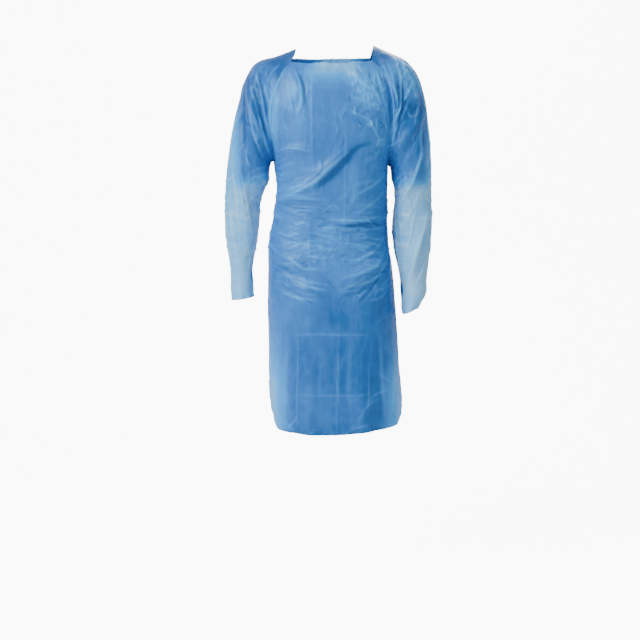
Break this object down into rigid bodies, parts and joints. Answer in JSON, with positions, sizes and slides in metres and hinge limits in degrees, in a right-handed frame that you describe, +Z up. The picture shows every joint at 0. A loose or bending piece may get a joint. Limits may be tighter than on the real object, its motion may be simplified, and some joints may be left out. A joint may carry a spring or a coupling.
{
  "type": "isolation gown",
  "caption": "Over-the-head isolation gown of thin blue film, worn and hollow, with raglan sleeves, thumb holes, an open back and waist ties.",
  "frame": {"origin": "between the shoulders, level with the top of the neck opening, where the wearer carries the gown", "axes": "+Z up, the front faces -Y, +X to the right as seen from the front; metres"},
  "size_m": [0.5704, 0.2725, 1.0452],
  "materials": {
    "film": "satin",
    "tie_film": "satin"
  },
  "bodies": {
    "root": {"front_panel": "film", "back_left": "film", "back_right": "film", "sleeve_left": "film", "sleeve_right": "film", "tie_left": "tie_film", "tie_right": "tie_film", "tie_knot": "tie_film", "tie_end_left": "tie_film", "tie_end_right": "tie_film"}
  },
  "joints": []
}
